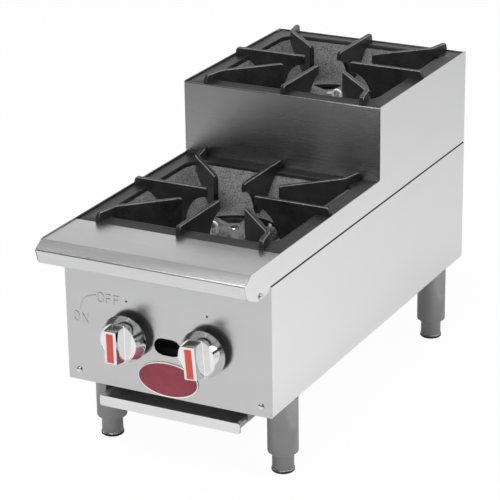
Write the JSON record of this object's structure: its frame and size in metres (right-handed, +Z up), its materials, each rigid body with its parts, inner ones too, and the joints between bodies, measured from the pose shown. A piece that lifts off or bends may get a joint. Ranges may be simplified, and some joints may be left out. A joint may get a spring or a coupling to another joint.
{
  "type": "step-up countertop range",
  "caption": "Step-up countertop gas range with a raised rear burner, cast-iron grates, a front ledge, red-striped chrome knobs and a pull-out drip tray on adjustable legs.",
  "frame": {"origin": "on the counter under the middle of the whole object's box", "axes": "+Z up, +X to the right as seen from the front, +Y from the front to the back"},
  "size_m": [0.3108, 0.7466, 0.4425],
  "materials": {
    "steel": "brushed stainless steel",
    "inner_steel": "plain zinc-coated steel",
    "leg_steel": "plated steel, satin",
    "cast_iron": "black porcelain-coated cast iron, fine grain",
    "black_pipe": "black steel pipe",
    "brass": "machined brass",
    "chrome": "polished chrome plate",
    "red_inlay": "glossy red with pale edges",
    "badge_red": "dark red enamel with a pale border",
    "pilot_aluminium": "drawn aluminium tube"
  },
  "bodies": {
    "casing": {"side_upper_right": "steel", "side_upper_left": "steel", "side_lower_right": "steel", "side_lower_left": "steel", "front_panel": "steel", "front_ledge": "steel", "riser_panel": "steel", "rear_panel": "steel", "top_frame_front": "inner_steel", "top_frame_rear": "inner_steel", "cross_rail_front": "inner_steel", "cross_rail_rear": "inner_steel", "burner_support_front": "inner_steel", "burner_support_rear": "inner_steel", "tray_runner_right": "inner_steel", "tray_runner_left": "inner_steel", "leg_front_right": "leg_steel", "leg_front_left": "leg_steel", "leg_rear_right": "leg_steel", "leg_rear_left": "leg_steel", "burner_head_front": "cast_iron", "burner_head_rear": "cast_iron", "mixer_front": "cast_iron", "mixer_rear": "cast_iron", "manifold_pipe": "black_pipe", "manifold_elbow": "black_pipe", "manifold_plug": "black_pipe", "supply_pipe": "black_pipe", "gas_valve_left": "brass", "gas_valve_right": "brass", "orifice_hood_left": "brass", "orifice_hood_right": "brass", "pilot_valve_left": "brass", "pilot_valve_right": "brass", "panel_screw_right": "chrome", "panel_screw_left": "chrome", "nose_screw_right": "chrome", "nose_screw_left": "chrome", "badge": "badge_red", "pilot_tube_front": "pilot_aluminium", "pilot_tube_rear": "pilot_aluminium"},
    "knob_left_unit": {"knob_left": "chrome", "knob_inlay_left": "red_inlay", "valve_stem_left": "brass"},
    "knob_right_unit": {"knob_right": "chrome", "knob_inlay_right": "red_inlay", "valve_stem_right": "brass"},
    "tray": {"drip_tray": "steel"},
    "front_grate": {"grate_front": "cast_iron"},
    "rear_grate": {"grate_rear": "cast_iron"},
    "front_left_foot": {"foot_front_left": "leg_steel"},
    "front_right_foot": {"foot_front_right": "leg_steel"},
    "rear_left_foot": {"foot_rear_left": "leg_steel"},
    "rear_right_foot": {"foot_rear_right": "leg_steel"},
    "left_shutter": {"air_shutter_left": "inner_steel"},
    "right_shutter": {"air_shutter_right": "inner_steel"},
    "left_pilot_screw": {"pilot_screw_left": "brass"},
    "right_pilot_screw": {"pilot_screw_right": "brass"}
  },
  "joints": [
    {"name": "knob_left_turn", "type": "hinge", "parent": "casing", "child": "knob_left_unit", "pos_m": [-0.0584, -0.3147, 0.1867], "axis": [0, -1, 0], "range_deg": [0, 90]},
    {"name": "knob_right_turn", "type": "hinge", "parent": "casing", "child": "knob_right_unit", "pos_m": [0.0584, -0.3147, 0.1867], "axis": [0, -1, 0], "range_deg": [0, 90]},
    {"name": "drip_tray_slide", "type": "slide", "parent": "casing", "child": "tray", "axis": [0, -1, 0], "range_m": [0, 0.4]},
    {"name": "grate_front_lift", "type": "slide", "parent": "casing", "child": "front_grate", "axis": [0, 0, 1], "range_m": [0, 0.12]},
    {"name": "grate_rear_lift", "type": "slide", "parent": "casing", "child": "rear_grate", "axis": [0, 0, 1], "range_m": [0, 0.12]},
    {"name": "foot_front_left_adjust", "type": "slide", "parent": "casing", "child": "front_left_foot", "axis": [0, 0, -1], "range_m": [0, 0.02]},
    {"name": "foot_front_right_adjust", "type": "slide", "parent": "casing", "child": "front_right_foot", "axis": [0, 0, -1], "range_m": [0, 0.02]},
    {"name": "foot_rear_left_adjust", "type": "slide", "parent": "casing", "child": "rear_left_foot", "axis": [0, 0, -1], "range_m": [0, 0.02]},
    {"name": "foot_rear_right_adjust", "type": "slide", "parent": "casing", "child": "rear_right_foot", "axis": [0, 0, -1], "range_m": [0, 0.02]},
    {"name": "air_shutter_left_turn", "type": "hinge", "parent": "casing", "child": "left_shutter", "pos_m": [-0.0584, -0.2527, 0.1867], "axis": [0, -1, 0], "range_deg": [0, 60]},
    {"name": "air_shutter_right_turn", "type": "hinge", "parent": "casing", "child": "right_shutter", "pos_m": [0.0584, -0.2527, 0.1867], "axis": [0, -1, 0], "range_deg": [0, 60]},
    {"name": "pilot_screw_left_turn", "type": "hinge", "parent": "casing", "child": "left_pilot_screw", "pos_m": [-0.06, -0.2987, 0.235], "axis": [0, -1, 0], "range_deg": [0, 360]},
    {"name": "pilot_screw_right_turn", "type": "hinge", "parent": "casing", "child": "right_pilot_screw", "pos_m": [0.06, -0.2987, 0.235], "axis": [0, -1, 0], "range_deg": [0, 360]}
  ]
}
